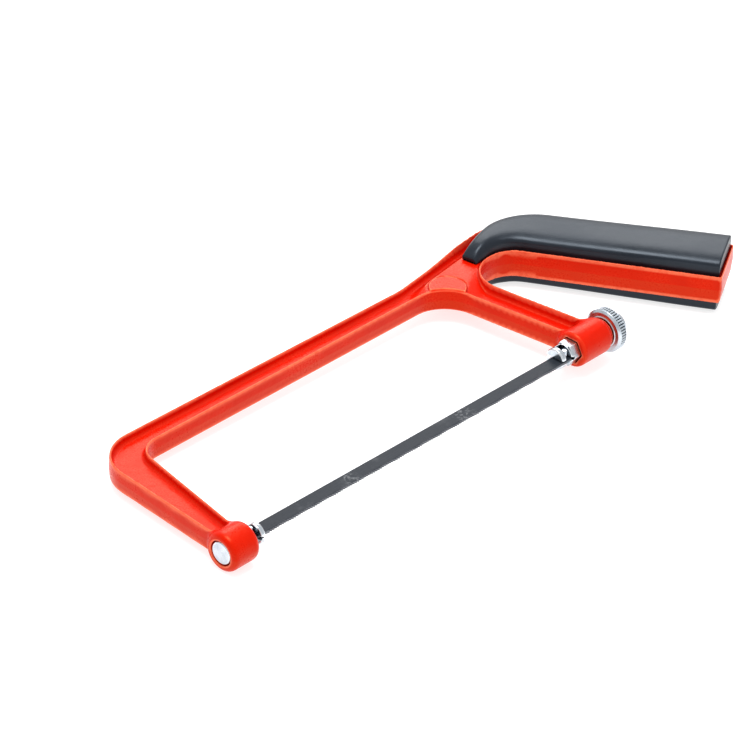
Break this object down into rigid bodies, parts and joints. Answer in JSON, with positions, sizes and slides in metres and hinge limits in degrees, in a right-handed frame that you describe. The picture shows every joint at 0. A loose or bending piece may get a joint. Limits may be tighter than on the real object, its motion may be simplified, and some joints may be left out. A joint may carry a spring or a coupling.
{
  "type": "hacksaw",
  "caption": "Junior hacksaw with a cast I-beam frame, a two-shell moulded grip and a short pin-end blade tightened by a knurled knob.",
  "frame": {"origin": "middle of the underside of the whole saw as it lies on its side", "axes": "+X along the blade from the toe to the handle, +Y from the teeth to the back of the frame, +Z across the frame's thickness, up from the side it lies on"},
  "size_m": [0.2602, 0.0824, 0.0222],
  "materials": {
    "frame_paint": "glossy red enamel on a die-cast aluminium frame",
    "grip_plastic": "satin charcoal moulded plastic",
    "screw_steel": "black oxide",
    "plated_steel": "bright zinc plate",
    "blade_steel": "dark lacquered spring steel"
  },
  "bodies": {
    "frame": {"frame": "frame_paint", "upper_grip_cover": "grip_plastic", "lower_grip_cover": "grip_plastic", "front_grip_screw": "screw_steel", "rear_grip_screw": "screw_steel"},
    "knob": {"tension_knob": "plated_steel"},
    "rear_holder": {"rear_blade_holder": "plated_steel"},
    "front_holder": {"front_blade_holder": "plated_steel"},
    "blade": {"saw_blade": "blade_steel", "front_blade_pin": "plated_steel", "rear_blade_pin": "plated_steel"}
  },
  "joints": [
    {"name": "rear_holder_slide", "type": "slide", "parent": "frame", "child": "rear_holder", "axis": [-1, 0, 0], "range_m": [0, 0.004]},
    {"name": "knob_spin", "type": "hinge", "parent": "frame", "child": "knob", "pos_m": [0.05794, -0.02916, 0.0111], "axis": [1, 0, 0], "range_deg": [0, 1440]},
    {"name": "front_holder_slide", "type": "slide", "parent": "frame", "child": "front_holder", "axis": [-1, 0, 0], "range_m": [0, 0.004]},
    {"name": "blade_unhook", "type": "slide", "parent": "front_holder", "child": "blade", "axis": [0, -1, 0], "range_m": [0, 0.012]}
  ],
  "couplings": [
    {"joint": "knob_spin", "follows": "rear_holder_slide", "rad_per_m": 6283.2},
    {"joint": "front_holder_slide", "follows": "rear_holder_slide", "ratio": 1}
  ]
}
